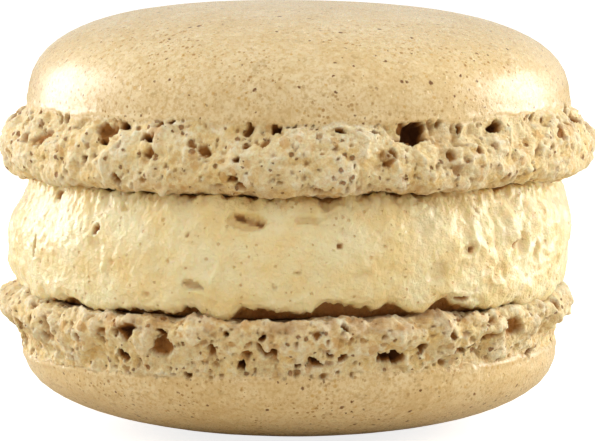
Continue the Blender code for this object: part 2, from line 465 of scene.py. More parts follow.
def shell(name, path, seam, flat_z, up, centre_x, crown_shift, seed, lean, crown_lean, pores, bumps):
    """A shell as one closed piece. up is 1 where the dome is on top and -1 where it is below.

    lean tilts the seam and crown_lean the crown, in millimetres of rise for each millimetre
    towards +X, and crown_shift moves the dome along X."""
    places, fine = shell_places(path, seam)
    station = places[:, None] - seam
    profile, normal = at(path, places), outward(path, places)
    radius, height = profile[:, :1], profile[:, 1:]
    whole = bearings(AROUND)
    base = ring_points(radius, flat_z + up * height, whole[None, :], 0.0)

    # Skin and crumb meet along a ragged line. The flat side has neither waves nor lumps.
    edge = station + 0.30 * cloud(base, 2.2, seed + 11, 4, 0.6)
    on_foot = step_up(-edge, -0.05, 0.4) * step_up(radius, 18.0, 19.6)
    small, swell = crumb_relief(base, seed)
    swell = swell * (0.70 + 0.30 * step_up(station, -5.9, -4.6))
    swell = swell + raised(whole, station, BELLY_RADIUS, bumps)
    wave = SKIN_WAVE * cloud(base, 9.0, seed + 6, 2) + SKIN_RIPPLE * cloud(base, 1.6, seed + 7, 2)
    wave = wave * step_up(radius, REST_RADIUS, 14.0) + SEAM_LIP * hump(edge, 0.28, 0.22)
    dug, depth = pore_depth(base, station, radius, fine, seed, pores)
    lift = swell * on_foot + wave * (1 - on_foot) - dug

    # The lean sets in over the foot and fades out towards the crown.
    crown = step_up(height, TOP_FOOT_HEIGHT, height.max())
    r = radius + normal[:, :1] * lift
    h = height + normal[:, 1:] * lift
    slope = lean * step_up(height, TILT_START, TILT_FULL) * (1 - crown) + crown_lean * crown
    points = ring_points(r, flat_z + up * h + slope * r * np.sin(whole), whole[None, :], 0.0)
    points[..., 0] += centre_x + crown_shift * np.clip((height - LOW_FOOT_HEIGHT) / 3.0, 0, 1)

    # What the finish needs: where the skin is, how deep a pore is, for painted shade in it, how brown the
    # foot is by the cream, and how high a lump is, for painted highlight and shade.
    # Browner in patches where the foot meets the cream, towards the front and the back.
    foot_edge_brown = np.clip(0.6 + cloud(base, 1.5, seed + 14, 3, 0.6), 0, 1)
    foot_edge_brown = FOOT_EDGE_BROWN * foot_edge_brown * (1 - step_up(height, 0.1, 1.2)) * step_up(np.abs(np.cos(whole)), 0.6, 0.95)
    values = {"skin": step_up(edge, -0.12, 0.12) * (1 - step_up(depth, 0.03, 0.12)),
              "hollow": np.maximum(np.clip((depth - 0.06) / 0.9, 0, 1), foot_edge_brown),
              "crest": np.clip(0.5 + 0.55 * swell + 2.2 * small, 0, 1)}
    rings, lists = thinned(points, values, fine)
    crown_z = flat_z + up * path[-1, 1]
    ends = [np.array([[centre_x, 0, flat_z]]), np.array([[centre_x + crown_shift, 0, crown_z]])]
    if up < 0:
        rings, ends = rings[::-1], ends[::-1]
        lists = {key: rows[::-1] for key, rows in lists.items()}
    return closed_piece(name, rings, lists, ends)


print("a shell's skin waves by", SKIN_WAVE, "mm and its lip is", SEAM_LIP, "mm thick")

# %% [markdown]
# ### Pores of the two feet
# The largest pores on the side facing the viewer are listed one by one and the rest are
# scattered, so the ring has no repeats. Heights are above the table and are turned into
# stations with the profile. Big pores crowd under the seam, where the rising foam pushed hardest.

# %% Pores of both shells
def station_of(height, path, seam, flat_z, up):
    """Station on the belly at this height above the table."""
    run = lengths(path) - seam
    belly = (run > -6.0) & (run < 1.5)
    levels = path[belly, 1]
    return np.interp(up * (height - flat_z), levels, run[belly])


# bearing, height over the table, half width, half height, depth, turn
TOP_BIG = [
    (23.6, 23.4, 0.86, 0.74, 1.5, 15), (20.1, 23.1, 0.60, 0.14, 0.5, 8),
    (-41.5, 23.2, 1.15, 0.55, 0.55, -8), (-37.5, 23.6, 0.42, 0.34, 1.1, 20),
    (-41.1, 22.6, 0.62, 0.26, 0.9, -15), (-30.3, 22.8, 0.52, 0.33, 1.3, 0),
    (-60.8, 22.3, 1.30, 0.60, 0.45, 20), (-20.8, 22.6, 0.33, 0.33, 0.4, 0),
    (-45.2, 21.3, 0.28, 0.26, 0.5, 0), (-26.1, 24.0, 0.26, 0.15, 0.6, 0),
    (-4.4, 23.6, 0.36, 0.28, 0.9, 10), (8.1, 23.5, 0.36, 0.28, 0.9, 0),
    (-11.7, 21.6, 0.32, 0.22, 0.6, 30), (43.0, 23.4, 0.60, 0.42, 1.2, -5),
    (33.9, 23.5, 0.24, 0.20, 0.8, 0), (55.5, 23.8, 0.30, 0.24, 0.5, 0),
    (36.2, 22.0, 0.36, 0.30, 0.6, 40), (58.2, 21.7, 0.30, 0.20, 0.4, 0),
    (63.2, 22.6, 0.50, 0.60, 0.5, -30), (15.0, 23.3, 0.40, 0.15, 0.5, 0),
]
LOW_BIG = [
    (20.8, 7.4, 1.00, 0.52, 1.5, 5), (-32.7, 9.3, 0.62, 0.52, 1.2, 0),
    (-25.4, 8.2, 1.05, 0.60, 0.55, -25), (-25.4, 9.1, 0.34, 0.42, 1.1, 0),
    (-34.3, 7.5, 0.46, 0.38, 1.1, -30), (-20.6, 6.2, 0.26, 0.22, 0.6, 0),
    (-9.5, 7.0, 0.34, 0.42, 1.2, 0), (-5.0, 9.1, 0.28, 0.18, 1.0, 0),
    (-3.3, 7.9, 0.80, 0.34, 0.9, -10), (5.2, 7.5, 0.55, 0.26, 1.1, 20),
    (8.0, 8.0, 0.22, 0.20, 0.7, 0), (10.9, 7.6, 0.36, 0.27, 1.0, -35),
    (2.0, 7.2, 0.30, 0.18, 0.9, 0), (38.0, 7.5, 0.52, 0.30, 1.1, -25),
    (42.7, 8.0, 0.38, 0.17, 0.8, 0), (50.0, 8.8, 1.00, 0.86, 0.5, 30),
    (27.1, 8.0, 0.38, 0.28, 0.8, 0), (-12.0, 9.4, 0.18, 0.32, 0.7, 0),
    (10.9, 9.8, 0.32, 0.16, 0.6, 30), (66.4, 9.8, 0.40, 0.48, 0.6, 0),
    (-55.8, 9.0, 0.50, 0.50, 0.4, 0),
]


def with_stations(table, path, seam, flat_z, up):
    """The listed pores with their heights turned into stations."""
    return [(angle, station_of(z, path, seam, flat_z, up), wide, tall, deep, turn)
            for angle, z, wide, tall, deep, turn in table]


def away_from_viewer(pores):
    """Leaves out the pores that face the viewer, where the listed ones are."""
    return [pore for pore in pores if abs(pore[0]) > 66]


def all_pores(seed, table, path, seam, flat_z, up):
    """Listed pores in front, big ones by the seam elsewhere, and small ones all round."""
    return (with_stations(table, path, seam, flat_z, up)
            + away_from_viewer(scattered_pores(seed, 46, -1.6, -0.1, (0.24, 0.85), (1.2, 2.0)))
            + away_from_viewer(scattered_pores(seed + 1, 34, -4.6, -0.5, (0.3, 0.8), (0.8, 1.4)))
            + scattered_pores(seed + 2, 330, -5.2, -0.1, (0.16, 0.46), (0.5, 1.4))
            + scattered_pores(seed + 3, 700, -6.0, 0.1, (0.10, 0.18), (1.2, 2.0)))


TOP_PORES = all_pores(50, TOP_BIG, TOP_PATH, TOP_SEAM, TOP_FLAT_Z, 1)
LOW_PORES = all_pores(70, LOW_BIG, LOW_PATH, LOW_SEAM, LOW_FLAT_Z, -1)
print("pores:", len(TOP_PORES), "in the upper foot and", len(LOW_PORES), "in the lower one")

# %% [markdown]
# ### Both shells
# The lower shell was piped a little smaller and lies a little off the upper one's axis. Its foot
# leans out at both sides, so a few broad swells, listed one by one, are added to the lumps.

# %% Build the shells
upper = shell("upper_shell", TOP_PATH, TOP_SEAM, TOP_FLAT_Z, up=1, centre_x=0.1, crown_shift=0.0,
              seed=11, lean=0.0, crown_lean=-0.012, pores=TOP_PORES, bumps=[
                  (-88, -3.2, 3.0, 2.2, 0.35, 0), (88, -3.0, 2.0, 1.6, 0.35, 0),
                  (-88, -5.6, 6.0, 1.0, 0.35, 0)])
lower = shell("lower_shell", LOW_PATH, LOW_SEAM, LOW_FLAT_Z, up=-1, centre_x=-0.65, crown_shift=0.5,
              seed=23, lean=0.018, crown_lean=0.0, pores=LOW_PORES, bumps=[
                  (-88, -3.9, 3.0, 1.2, 0.15, 0), (-88, -1.2, 6.0, 1.8, -0.65, 0),
                  (88, -2.6, 5.0, 1.6, -0.95, 0), (-84, -5.8, 8.0, 1.1, 0.65, 0),
                  (84, -5.7, 8.0, 1.3, 1.10, 0)])

# %% [markdown]
# ## The buttercream
# The cream is piped as a thick disc and pressed until it bulges between the shells. Its side is
# soft and satin, with shallow folds, streaks where the bag dragged it, dents with raised rims,
# air holes and patches where its skin tore. It leaves the shells along a ragged line, so its
# two edges are drawn back by noise and by a few listed marks, and its walls there are frayed
# and darkened brown with painted shade. A sculpt could give one such side, but formulas give
# the whole ring.

# %% Edges of the cream
CREAM_GAP = 0.05  # between the cream and each shell, in millimetres
CREAM_LOW, CREAM_HIGH = LOW_FLAT_Z + CREAM_GAP, TOP_FLAT_Z - CREAM_GAP
CREAM_HEIGHT, CREAM_RADIUS = 8.6, 21.0
CREAM_SIDE = FLAT_SIDE + [
    (18.6, 0.0), (20.0, 0.05), (20.55, 0.4), (20.8, 1.4), (20.95, 2.6), (21.0, 4.0), (20.95, 5.0),
    (20.75, 6.2), (20.4, 7.3), (20.1, 8.1), (19.7, 8.7), (19.0, 8.75), (18.2, CREAM_HEIGHT),
    (15, CREAM_HEIGHT), (8, CREAM_HEIGHT), (0, CREAM_HEIGHT)]


def edge_line(marks, bearing, seed):
    """How far an edge of the cream draws back, in millimetres, at each bearing.

    It is a level, plus soft noise round the ring, plus one smooth box per mark: (start, end,
    amount, softness), with bearings in degrees."""
    level, wave, boxes = marks
    ring = ring_points(CREAM_RADIUS, 0.0, bearing, 0.0)
    line = level + wave * cloud(ring, 3.4, seed, 3, 0.65)
    turn = np.degrees(bearing)
    for start, end, amount, soft in boxes:
        rise = step_up(turn, start - soft, start + soft)
        fall = step_up(turn, end - 2 * soft, end + 2 * soft)
        line = line + amount * rise * (1 - fall)
    return np.maximum(line * (1 + 0.30 * cloud(ring, 1.5, seed + 5, 2, 0.5)), -0.25)[None, :]


print("the cream is", round(CREAM_HIGH - CREAM_LOW, 2), "mm thick")

# %% Relief of the cream
TEAR_RIGHT, TEAR_LEFT = math.radians(54), math.radians(-66)
RIM_SPREAD, RIM_SHARE = (1.22, 1.3), 0.3  # a dent's rim is wider than it and this share as high


def cream_swell(base, level, bearing, seed):
    """Folds, streaks and torn lumps of the cream's side, in millimetres outwards.

    Streaks follow a helix: the ring is turned with height and flattened before the noise."""
    helix = bearing[None, :] - 0.9 * level / CREAM_RADIUS
    streaks = ring_points(CREAM_RADIUS, 0.22 * level, helix, 0.0)
    streaked = step_up(-np.sin(bearing + 0.1), -0.1, 0.4)
    behind = step_up(-np.cos(bearing), -0.2, 0.3)
    torn = (step_up(np.cos(bearing - TEAR_RIGHT), 0.86, 0.97)
            + 0.6 * step_up(np.cos(bearing - TEAR_LEFT), 0.90, 0.99)
            + step_up(soft_noise(base, 14.0, seed + 20), 0.1, 0.5) * behind)
    lumps, _ = foam(crooked(base, 0.5, 1.5, seed), 2.0, seed + 21)
    return (0.26 * cloud(base, 7.0, seed, 2) + 0.10 * cloud(base, 2.6, seed + 1, 2)
            + 0.07 * cloud(base, 0.8, seed + 2, 3, 0.75)
            + 0.012 * cloud(streaks, 0.9, seed + 3, 2) * streaked
            + torn * (0.42 * (0.4 - lumps**2) + 0.10 * cloud(base, 1.2, seed + 22, 3, 0.6)))


def pressed(base, level, radius, fine, seed, dents, holes):
    """Depth of the air holes, depth of the dents and height of the dents' raised rims."""
    rims = [(angle, place, RIM_SPREAD[0] * wide, RIM_SPREAD[1] * tall, RIM_SHARE * deep, turn)
            for angle, place, wide, tall, deep, turn in dents]
    bend = [0.07 * cloud(base, 1.0, seed + 8 + k, 2)[fine] for k in (0, 1)]
    fields = []
    for table, wall in ((holes, 0.5), (dents, 0.7), (rims, 1.0)):
        field = np.zeros(base.shape[:2])
        dig(field[fine], bearings(AROUND), level[fine, 0], radius[fine, 0], bend, table, wall)
        fields.append(field)
    return fields


print("the cream's dents have rims", RIM_SHARE, "times as high as they are deep")

# %% Cream surface
SIDE_ROWS = 72
# Painted shade: how dark the frayed walls beside the shells are made.
SLOT_SHADE = 0.75  # how brown the frayed walls are


def cream(name, side, low_z, centre_x, seed, dents, ridges, holes, low_edge, high_edge):
    """The cream as one closed piece."""
    path = rounded(np.array(side, float))
    run = lengths(path)
    half = len(path) // 2
    start = np.interp(18.2, path[:half, 0], run[:half])
    end = run[-1] - start
    places = np.concatenate([np.linspace(0.5, start - 0.5, FLAT_ROWS), np.linspace(start, end, SIDE_ROWS),
                             np.linspace(end + 0.5, run[-1] - 0.5, FLAT_ROWS)])
    fine = slice(FLAT_ROWS, FLAT_ROWS + SIDE_ROWS)
    profile, normal = at(path, places), outward(path, places)
    whole = bearings(AROUND)
    radius, height = profile[:, :1], profile[:, 1:]
    base = ring_points(radius, low_z + height, whole[None, :], 0.0)
    level = places[:, None] - (start + end) / 2

    swell = cream_swell(base, level, whole, seed) + raised(whole, level, CREAM_RADIUS, ridges)
    depth, sunk, rims = pressed(base, level, radius, fine, seed, dents, holes)
    swell = swell + rims - 1.3 * sunk
    frayed = 0.20 * cloud(base, 0.55, seed + 40, 3, 0.7) * (1 - step_up(radius, 19.8, 20.5))
    lift = (swell + frayed) * step_up(radius, 18.2, 19.8) - depth
    r = radius + normal[:, :1] * lift
    h = height + normal[:, 1:] * lift
    # The edges rise and sink along the ring, and open or close the slots beside the shells.
    rim = step_up(radius, 18.6, 19.6)
    h = h + rim * (1 - step_up(height, 0.0, 2.2)) * edge_line(low_edge, whole, seed + 30)
    h = h - rim * step_up(height, 6.6, CREAM_HEIGHT) * edge_line(high_edge, whole, seed + 31)
    points = ring_points(r, low_z + h, whole[None, :], centre_x)

    # Painted shade: the cream is darkened brown where it leaves the shells, in the slots beside them, with
    # noisy patches near its top and bottom.
    low_shade, high_shade = 1 - step_up(radius, 19.4, 20.3), 1 - step_up(radius, 19.0, 19.7)
    blotch = 0.25 * cloud(base, 0.9, seed + 9, 2) * step_up(np.abs(height - CREAM_HEIGHT / 2), 3.6, 4.2)
    slot_shade = np.where(height < 4, low_shade, high_shade) + blotch
    # The hollow value is painted shade: darker in air holes and dents and in the slots by the shells.
    values = {"hollow": np.clip(np.maximum(depth / 0.8 + 0.12 * sunk, SLOT_SHADE * slot_shade), 0, 1)}
    rings, lists = thinned(points, values, fine)
    ends = [np.array([[centre_x, 0, low_z + z]]) for z in (0, CREAM_HEIGHT)]
    return closed_piece(name, rings, lists, ends)


def on_cream(table, stretch=1.06):
    """Marks (bearing, height over the table, ...) with their heights turned into stations.

    A millimetre of height is stretch millimetres along the cream's bulging side."""
    middle = (CREAM_LOW + CREAM_HIGH) / 2
    return [(angle, (z - middle) * stretch, *shape) for angle, z, *shape in table]


print("the cream has", 2 * FLAT_ROWS + SIDE_ROWS, "rows")

# %% [markdown]
# ### Marks on the cream
# Air holes, dents and ridges that a maker would notice are listed one by one, each with its
# bearing, its height over the table, its half width, half height, depth or lift, and turn in degrees.
# The edges' marks are stretches of the ring where the cream draws back or comes forward.

# %% Marks on the cream
CREAM_HOLES = on_cream([
    (-9.9, 17.60, 0.42, 0.20, 0.50, -10), (-6.0, 17.15, 0.36, 0.17, 0.45, -10),
    (-8.0, 17.35, 1.05, 0.22, 0.26, -14),
    (9.6, 15.6, 0.24, 0.20, 0.40, 0), (-41.5, 16.2, 0.30, 0.42, 0.8, -35),
    (-61.1, 14.5, 0.17, 0.85, 0.9, -8), (-20.1, 16.2, 0.10, 0.20, 0.25, -40),
    (37.8, 15.0, 0.24, 0.20, 0.5, 40), (49.5, 15.0, 0.35, 0.25, 0.4, 20),
    (36.0, 11.0, 0.65, 0.22, 0.8, 25), (40.1, 17.6, 0.5, 0.07, 0.3, -40),
    (-56.0, 18.2, 0.4, 0.3, 0.6, 0),
])
CREAM_DENTS = on_cream([
    (-8.4, 17.25, 1.50, 0.70, 0.62, -6), (3.4, 17.3, 0.95, 0.36, 0.34, 0),
    (10.2, 16.5, 0.50, 0.24, 0.16, -10), (-18.9, 12.9, 0.85, 0.34, 0.60, -12),
    (29.7, 13.6, 0.9, 0.7, 0.22, 40), (26.0, 16.8, 1.3, 0.8, 0.16, 0),
    (37.2, 15.0, 0.75, 0.42, 0.32, 25), (52.5, 14.9, 1.1, 0.9, 0.5, 30),
    (58.5, 14.2, 0.5, 0.8, 0.4, -20), (45.0, 13.2, 0.8, 0.7, 0.25, 0),
    (-41.0, 15.3, 0.75, 0.45, 0.18, -10), (-37.1, 14.2, 0.30, 0.22, 0.2, 0),
    (-29.0, 12.1, 0.28, 0.28, 0.2, 0), (1.5, 13.9, 0.36, 0.12, 0.2, 0),
    (-3.0, 12.9, 0.26, 0.14, 0.25, -30), (-35.0, 17.8, 0.45, 0.22, 0.3, -10),
    (14.0, 13.6, 0.9, 0.3, 0.14, 10), (18.0, 15.6, 0.5, 0.4, 0.12, 0),
])
CREAM_RIDGES = on_cream([
    (-14.6, 13.5, 0.26, 1.2, 0.28, -22), (-17.8, 12.4, 0.7, 0.2, 0.16, -15),
    (39.0, 16.7, 0.55, 1.7, 0.42, -4), (50.0, 16.0, 0.65, 2.2, 0.45, 6),
    (44.5, 16.5, 0.4, 1.6, -0.30, 0), (58.0, 16.9, 0.6, 0.9, 0.35, 0), (45.0, 12.9, 0.7, 0.7, 0.25, 0),
    (34.0, 14.3, 0.8, 0.18, 0.16, 30), (47.5, 13.9, 0.3, 0.9, 0.18, 35),
    (2.5, 12.1, 0.5, 0.15, 0.10, 20), (-84, 17.9, 7.0, 1.5, -0.75, 0), (-88, 11.4, 6.0, 1.0, -0.35, 0),
    (88, 13.6, 5.0, 1.4, -0.35, 0),
])
CREAM_LOW_EDGE = (0.30, 0.30, [
    (-55, -47, 0.30, 1.8), (-21.5, -18.5, 0.45, 0.8), (-15.5, -11.5, -0.30, 0.8),
    (-10.5, -4.0, 0.40, 1.0), (-3.5, 4.2, 0.10, 0.6), (4.8, 14.0, 0.42, 0.6), (5.2, 9.0, 0.42, 1.1),
    (6.0, 12.0, 0.28, 1.6), (14.5, 20, 0.40, 1.2), (19, 24, 0.60, 1.2), (29, 38, 0.60, 1.8),
    (55, 90, -0.2, 3),
])
CREAM_HIGH_EDGE = (-0.20, 0.28, [
    (-24, -20, 0.35, 1.0), (-14.5, -5.0, 0.25, 1.6), (-4.5, 1.5, 0.25, 1.2), (5.0, 9.5, 0.50, 1.3),
    (6.5, 13.0, 0.30, 1.8), (13.5, 17.0, 0.30, 1.0), (26, 31, 0.30, 1.0),
])
print("marks on the cream:", len(CREAM_HOLES), "holes,", len(CREAM_DENTS), "dents,",
      len(CREAM_RIDGES), "ridges")

# %% Build the cream
filling = cream("buttercream", CREAM_SIDE, CREAM_LOW, centre_x=-0.55, seed=31, dents=CREAM_DENTS,
                ridges=CREAM_RIDGES, holes=CREAM_HOLES, low_edge=CREAM_LOW_EDGE,
                high_edge=CREAM_HIGH_EDGE)

# %% [markdown]
# ## Finishes
# Everything seen as colour is worked out from the place in space and from the values stored on
# the points, so nothing has to be unwrapped. Two effects serve more than one finish, and each is
# a node group that puts out only a mask or a colour: scattered specks, which are vanilla on the
# skin, pinholes in the crumb and air in the cream, and the painted warm shade inside hollows and
# along the cream's slots.

# %% Node helpers
def group(name, inputs, outputs):
    """A shader node group with named sockets: (name, kind, value) in and (name, kind) out."""
    tree = bpy.data.node_groups.new(name, "ShaderNodeTree")
    for label, kind, value in inputs:
        socket = tree.interface.new_socket(label, in_out="INPUT", socket_type=kind)
        if value is not None:
            socket.default_value = value
    for label, kind in outputs:
        tree.interface.new_socket(label, in_out="OUTPUT", socket_type=kind)
    return tree


def node(tree, kind, settings=None, **inputs):
    """A node with settings as attributes and inputs by socket name, as values or links."""
    made = tree.nodes.new(kind)
    for key, value in (settings or {}).items():
        setattr(made, key, value)
    for key, value in inputs.items():
        plug(tree, made, key.replace("_", " "), value)
    return made


def plug(tree, made, key, value):
    """Sets or links one input, found by its name or number."""
    socket = made.inputs[int(key)] if key.isdigit() else made.inputs[key]
    if isinstance(value, bpy.types.NodeSocket):
        tree.links.new(value, socket)
    else:
        socket.default_value = value


def math_node(tree, operation, first, second=None, third=None, clamp=False):
    """A Math node's output."""
    made = tree.nodes.new("ShaderNodeMath")
    made.operation, made.use_clamp = operation, clamp
    for number, value in enumerate((first, second, third)):
        if value is not None:
            plug(tree, made, str(number), value)
    return made.outputs[0]


def mix_colour(tree, share, first, second):
    """A Mix node's colour output."""
    made = tree.nodes.new("ShaderNodeMix")
    made.data_type = "RGBA"
    plug(tree, made, "0", share)
    plug(tree, made, "6", first)
    plug(tree, made, "7", second)
    return made.outputs[2]


def colour(red, green, blue):
    """Linear colour from the 0 to 255 values a picture editor shows."""
    values = [c / 255 for c in (red, green, blue)]
    return tuple(c / 12.92 if c <= 0.04045 else ((c + 0.055) / 1.055)**2.4 for c in values) + (1.0,)


print("baked skin is", [round(c, 3) for c in colour(233, 214, 174)])

# %% Speck group
SPECKS = group("scattered_specks",
               [("Coordinate", "NodeSocketVector", None), ("Spacing", "NodeSocketFloat", 0.001),
                ("Size", "NodeSocketFloat", 0.2), ("Share", "NodeSocketFloat", 0.5)],
               [("Mask", "NodeSocketFloat")])


def build_specks(tree):
    """Specks: in every cell of a random foam that wins a draw, the points near the centre.

    The edge of a speck is bent by finer noise, so that no two look alike."""
    start, end = tree.nodes.new("NodeGroupInput"), tree.nodes.new("NodeGroupOutput")
    scale = math_node(tree, "DIVIDE", 1.0, start.outputs["Spacing"])
    wobble = node(tree, "ShaderNodeTexNoise", Vector=start.outputs["Coordinate"],
                  Scale=math_node(tree, "MULTIPLY", scale, 3.0), Detail=2.0)
    shift = node(tree, "ShaderNodeVectorMath", {"operation": "MULTIPLY_ADD"})
    tree.links.new(wobble.outputs["Color"], shift.inputs[0])
    reach = math_node(tree, "MULTIPLY", start.outputs["Spacing"], 0.35)
    tree.links.new(reach, shift.inputs[1])
    tree.links.new(start.outputs["Coordinate"], shift.inputs[2])
    cells = node(tree, "ShaderNodeTexVoronoi", Vector=shift.outputs[0], Scale=scale, Randomness=1.0)
    split = node(tree, "ShaderNodeSeparateColor", Color=cells.outputs["Color"])
    drawn = math_node(tree, "LESS_THAN", split.outputs[0], start.outputs["Share"])
    size = math_node(tree, "MULTIPLY", start.outputs["Size"],
                     math_node(tree, "ADD", math_node(tree, "POWER", split.outputs[1], 2.0), 0.35))
    inside = math_node(tree, "SUBTRACT", size, cells.outputs["Distance"])
    soft = math_node(tree, "DIVIDE", inside, math_node(tree, "MULTIPLY", size, 0.4), clamp=True)
    tree.links.new(math_node(tree, "MULTIPLY", soft, drawn), end.inputs["Mask"])


build_specks(SPECKS)
print(SPECKS.name, "has", len(SPECKS.nodes), "nodes")

# %% Painted hollow shade group
HOLLOW_SHADE = group("painted_hollow_shade",
                [("Color", "NodeSocketColor", (1, 1, 1, 1)), ("Warm", "NodeSocketColor", (1, 1, 1, 1)),
                 ("Deep", "NodeSocketColor", (0, 0, 0, 1)), ("Strength", "NodeSocketFloat", 1.0)],
                [("Color", "NodeSocketColor")])


def build_hollows(tree):
    """Painted shade in hollows: colour goes to Warm over the first part of the hollow value and on to Deep
    at its end.
    """
    start, end = tree.nodes.new("NodeGroupInput"), tree.nodes.new("NodeGroupOutput")
    value = node(tree, "ShaderNodeAttribute", {"attribute_name": "hollow"}).outputs["Fac"]
    value = math_node(tree, "MULTIPLY", value, start.outputs["Strength"], clamp=True)
    first = math_node(tree, "MULTIPLY", value, 2.2, clamp=True)
    last = math_node(tree, "MULTIPLY_ADD", value, 1.7, -0.68, clamp=True)
    warm = mix_colour(tree, first, start.outputs["Color"], start.outputs["Warm"])
    tree.links.new(mix_colour(tree, last, warm, start.outputs["Deep"]), end.inputs["Color"])


build_hollows(HOLLOW_SHADE)
print(HOLLOW_SHADE.name, "has", len(HOLLOW_SHADE.nodes), "nodes")

# %% [markdown]
# ### Baked shell
# The skin is pale tan, satin and freckled with vanilla. The crumb is the same batter torn open:
# more yellow, matt and toasted in patches, with painted shade that browns it deep in its pores
# and in its creases, and painted highlight on its crests. One finish shows both, and the stored
# skin value says which one a point has, so the two meet along the same ragged line as the
# surfaces do.

# %% Finish helpers
def placed_group(tree, source, **inputs):
    """A group node in a material."""
    made = tree.nodes.new("ShaderNodeGroup")
    made.node_tree = source
    for key, value in inputs.items():
        plug(tree, made, key, value)
    return made.outputs[0]


def specks(tree, place, spacing, size, share):
    """Mask of scattered specks: spacing in metres, size in spacings, share of cells with one."""
    return placed_group(tree, SPECKS, Coordinate=place, Spacing=spacing, Size=size, Share=share)


def noise(tree, place, size, detail=2.0, roughness=0.5):
    """A noise texture's value, with its size in metres."""
    return node(tree, "ShaderNodeTexNoise", Vector=place, Scale=1 / size, Detail=detail,
                Roughness=roughness).outputs["Fac"]


def ramp(tree, value, start, end):
    """Map Range from start to end onto 0 to 1."""
    made = node(tree, "ShaderNodeMapRange", {"interpolation_type": "SMOOTHSTEP"})
    for number, part in enumerate((value, start, end)):
        plug(tree, made, str(number), part)
    return made.outputs[0]


def layered(tree, paint, layers):
    """The colour under a stack of layers: (mask, share, tint), with the tint from 0 to 255."""
    for mask, share, tint in layers:
        paint = mix_colour(tree, math_node(tree, "MULTIPLY", mask, share), paint, colour(*tint))
    return paint


def empty_finish(name):
    """(material, its node tree, its Principled shader, Object coordinates)."""
    made = bpy.data.materials.new(name)
    made.use_nodes = True
    tree = made.node_tree
    place = node(tree, "ShaderNodeTexCoord").outputs["Object"]
    return made, tree, tree.nodes["Principled BSDF"], place


def stored(tree, key):
    """A value stored on the piece's points."""
    return node(tree, "ShaderNodeAttribute", {"attribute_name": key}).outputs["Fac"]


print("specks come from", SPECKS.name, "and hollows from", HOLLOW_SHADE.name)

# %% Colours of the baked shell
def skin_paint(tree, place, grain, dust):
    """Skin: mottled tan with smudges, tan sugar spots and two sizes of vanilla freckles."""
    blotch = ramp(tree, noise(tree, place, 0.005, 4.0, 0.6), 0.35, 0.65)
    paint = mix_colour(tree, blotch, colour(228, 202, 150), colour(239, 219, 176))
    smudge = ramp(tree, noise(tree, place, 0.0012, 3.0, 0.6), 0.60, 0.72)
    cluster = ramp(tree, noise(tree, place, 0.004, 2.0), 0.30, 0.65)
    fine = math_node(tree, "MULTIPLY", specks(tree, place, 0.00034, 0.38, 0.8), cluster)
    return layered(tree, paint, [
        (grain, 0.75, (208, 174, 112)), (dust, 0.45, (246, 228, 184)),
        (smudge, 0.30, (168, 138, 84)),
        (specks(tree, place, 0.00050, 0.28, 0.45), 0.6, (204, 156, 60)),
        (fine, 0.85, (170, 122, 46)),
        (specks(tree, place, 0.00078, 0.19, 0.65), 0.95, (118, 70, 10))])


def crumb_paint(tree, place, grain, dust, pinhole):
    """Crumb: painted shade in the creases, painted highlight on the crests, toasted in random patches, and
    sandy all over.
    """
    crest = stored(tree, "crest")
    toast = ramp(tree, noise(tree, place, 0.0016, 5.0, 0.7), 0.42, 0.66)
    paint = mix_colour(tree, toast, colour(254, 238, 194), colour(250, 218, 146))
    ash = ramp(tree, noise(tree, place, 0.0030, 3.0, 0.6), 0.56, 0.70)
    paint = layered(tree, paint, [
        # Painted highlight on the crests of the lumps and painted shade in the creases between them.
        (ramp(tree, crest, 0.55, 0.95), 0.8, (253, 243, 214)),
        (ramp(tree, crest, 0.42, 0.05), 0.4, (198, 150, 84)),
        (grain, 0.5, (226, 184, 110)), (dust, 0.5, (255, 247, 218)),
        (ash, 0.28, (190, 152, 90)),
        (specks(tree, place, 0.0009, 0.50, 0.5), 0.5, (212, 156, 76)),
        # The pinholes are brown: partly toasted colour, partly painted shade inside them.
        (pinhole, 0.8, (146, 86, 30))])
    # Painted shade: brown deep in the pores, and the browning where the foot meets the cream, through the
    # hollow value.
    return placed_group(tree, HOLLOW_SHADE, Color=paint, Warm=colour(178, 120, 54),
                        Deep=colour(100, 58, 22), Strength=1.2)


print("toasted crumb is", [round(c, 3) for c in colour(250, 218, 146)])

